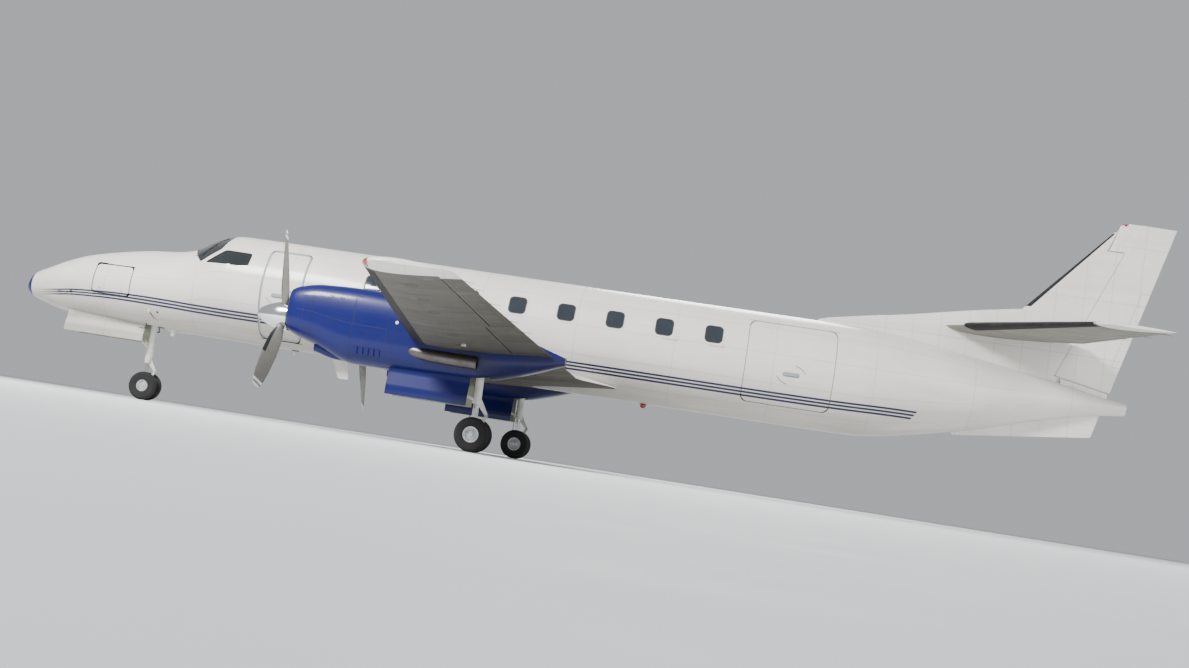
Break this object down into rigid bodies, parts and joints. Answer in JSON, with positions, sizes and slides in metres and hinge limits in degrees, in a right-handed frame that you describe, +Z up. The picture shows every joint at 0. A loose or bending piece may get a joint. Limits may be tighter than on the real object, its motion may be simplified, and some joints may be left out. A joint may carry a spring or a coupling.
{
  "type": "turboprop commuter airliner",
  "caption": "Low-wing twin-turboprop commuter airliner with a long round cabin, turning propellers, steering nose gear, opening doors, flaps and hinged control surfaces.",
  "frame": {"origin": "on the ground, at mid length, on the centreline", "axes": "+X aft, +Y starboard, +Z up"},
  "size_m": [18.09, 14.1, 5.08],
  "materials": {
    "white_paint": "painted",
    "blue_paint": "gloss",
    "grey_paint": "painted",
    "glass": "polished",
    "panel_black": "matte",
    "seat_cover": "matte",
    "lining": "matte",
    "engine_metal": "matte",
    "blade_paint": "satin",
    "polished_metal": "polished",
    "gear_paint": "painted",
    "wheel_metal": "satin",
    "tyre": "matte"
  },
  "bodies": {
    "airframe": {"cabin_floor": "lining", "cabin_front_section": "white_paint", "cabin_mid_section": "white_paint", "cabin_rear_section": "white_paint", "cockpit_section": "white_paint", "engine_port": "engine_metal", "engine_starboard": "engine_metal", "fin": "white_paint", "instrument_panel": "panel_black", "main_gear_door_inner_port": "blue_paint", "main_gear_door_inner_starboard": "blue_paint", "main_gear_door_outer_port": "blue_paint", "main_gear_door_outer_starboard": "blue_paint", "main_leg_port": "gear_paint", "main_leg_starboard": "gear_paint", "nacelle_port": "blue_paint", "nacelle_starboard": "blue_paint", "nose_cap": "blue_paint", "nose_gear_door_port": "white_paint", "nose_gear_door_starboard": "white_paint", "nose_leg": "gear_paint", "nose_section": "white_paint", "pilot_seat_port": "seat_cover", "pilot_seat_starboard": "seat_cover", "side_window_port": "glass", "side_window_starboard": "glass", "tail_section": "white_paint", "tailplane": "white_paint", "windscreen_port": "glass", "windscreen_starboard": "glass", "wing_port": "grey_paint", "wing_starboard": "grey_paint"},
    "propeller_port": {"propeller_port": "blade_paint", "spinner_port": "polished_metal"},
    "propeller_starboard": {"propeller_starboard": "blade_paint", "spinner_starboard": "polished_metal"},
    "main_wheels_port": {"main_hubs_port": "wheel_metal", "main_tyre_outer_port": "tyre", "main_tyre_inner_port": "tyre"},
    "main_wheels_starboard": {"main_hubs_starboard": "wheel_metal", "main_tyre_outer_starboard": "tyre", "main_tyre_inner_starboard": "tyre"},
    "nose_steering": {"nose_fork": "gear_paint"},
    "nose_wheels": {"nose_hubs": "wheel_metal", "nose_tyre_port": "tyre", "nose_tyre_starboard": "tyre"},
    "passenger_door": {"passenger_door": "white_paint"},
    "cargo_door": {"cargo_door": "white_paint"},
    "nose_door_port": {"nose_door_port": "white_paint"},
    "nose_door_starboard": {"nose_door_starboard": "white_paint"},
    "flaps_port": {"flap_inboard_port": "grey_paint", "flap_outboard_port": "grey_paint"},
    "flaps_starboard": {"flap_inboard_starboard": "grey_paint", "flap_outboard_starboard": "grey_paint"},
    "aileron_port": {"aileron_port": "grey_paint"},
    "aileron_starboard": {"aileron_starboard": "grey_paint"},
    "rudder": {"rudder": "white_paint"},
    "elevator_port": {"elevator_port": "white_paint"},
    "elevator_starboard": {"elevator_starboard": "white_paint"}
  },
  "joints": [
    {"name": "propeller_spin_port", "type": "hinge", "parent": "airframe", "child": "propeller_port", "pos_m": [-3.947, -2.285, 1.515], "axis": [1, 0, 0], "continuous": true},
    {"name": "propeller_spin_starboard", "type": "hinge", "parent": "airframe", "child": "propeller_starboard", "pos_m": [-3.947, 2.285, 1.515], "axis": [1, 0, 0], "continuous": true},
    {"name": "main_wheel_spin_port", "type": "hinge", "parent": "airframe", "child": "main_wheels_port", "pos_m": [-0.955, -2.285, 0.2475], "axis": [0, 1, 0], "continuous": true},
    {"name": "main_wheel_spin_starboard", "type": "hinge", "parent": "airframe", "child": "main_wheels_starboard", "pos_m": [-0.955, 2.285, 0.2475], "axis": [0, 1, 0], "continuous": true},
    {"name": "nose_steer", "type": "hinge", "parent": "airframe", "child": "nose_steering", "pos_m": [-6.813, 0, 0.5], "axis": [0, 0, 1], "range_deg": [-63, 63]},
    {"name": "nose_wheel_spin", "type": "hinge", "parent": "nose_steering", "child": "nose_wheels", "pos_m": [-6.783, 0, 0.2285], "axis": [0, 1, 0], "continuous": true},
    {"name": "passenger_door_hinge", "type": "hinge", "parent": "airframe", "child": "passenger_door", "pos_m": [-4.555, -0.3916, 1.266], "axis": [1, 0, 0], "range_deg": [0, 125]},
    {"name": "cargo_door_hinge", "type": "hinge", "parent": "airframe", "child": "cargo_door", "pos_m": [3.39, -0.55165, 2.664], "axis": [-1, -0.0038, 0], "range_deg": [0, 95]},
    {"name": "nose_door_hinge_port", "type": "hinge", "parent": "airframe", "child": "nose_door_port", "pos_m": [-7.405, -0.49867, 2.057], "axis": [-0.9831, 0.1832, 0], "range_deg": [0, 85]},
    {"name": "nose_door_hinge_starboard", "type": "hinge", "parent": "airframe", "child": "nose_door_starboard", "pos_m": [-7.405, 0.49867, 2.057], "axis": [0.9831, 0.1832, 0], "range_deg": [0, 85]},
    {"name": "flap_hinge_port", "type": "hinge", "parent": "airframe", "child": "flaps_port", "pos_m": [-0.351, -1.01, 1.3791], "axis": [0.0918, 0.9921, -0.0859], "range_deg": [0, 36]},
    {"name": "flap_hinge_starboard", "type": "hinge", "parent": "airframe", "child": "flaps_starboard", "pos_m": [-0.351, 1.01, 1.3791], "axis": [-0.0918, 0.9921, 0.0859], "range_deg": [0, 36]},
    {"name": "aileron_hinge_port", "type": "hinge", "parent": "airframe", "child": "aileron_port", "pos_m": [-0.5876, -4.35, 1.6663], "axis": [0.1016, 0.9911, -0.0861], "range_deg": [-20, 20]},
    {"name": "aileron_hinge_starboard", "type": "hinge", "parent": "airframe", "child": "aileron_starboard", "pos_m": [-0.5876, 4.35, 1.6663], "axis": [-0.1016, 0.9911, 0.0861], "range_deg": [-20, 20]},
    {"name": "rudder_hinge", "type": "hinge", "parent": "airframe", "child": "rudder", "pos_m": [7.405, 0, 2.37], "axis": [0.378, 0, 0.9258], "range_deg": [-25, 25]},
    {"name": "elevator_hinge_port", "type": "hinge", "parent": "airframe", "child": "elevator_port", "pos_m": [7.3268, -0.15, 3.1], "axis": [-0.3493, 0.937, 0], "range_deg": [-30, 20]},
    {"name": "elevator_hinge_starboard", "type": "hinge", "parent": "airframe", "child": "elevator_starboard", "pos_m": [7.3268, 0.15, 3.1], "axis": [0.3493, 0.937, 0], "range_deg": [-30, 20]}
  ],
  "couplings": [
    {"joint": "flap_hinge_starboard", "follows": "flap_hinge_port", "ratio": 1},
    {"joint": "aileron_hinge_starboard", "follows": "aileron_hinge_port", "ratio": -1},
    {"joint": "elevator_hinge_starboard", "follows": "elevator_hinge_port", "ratio": 1}
  ]
}
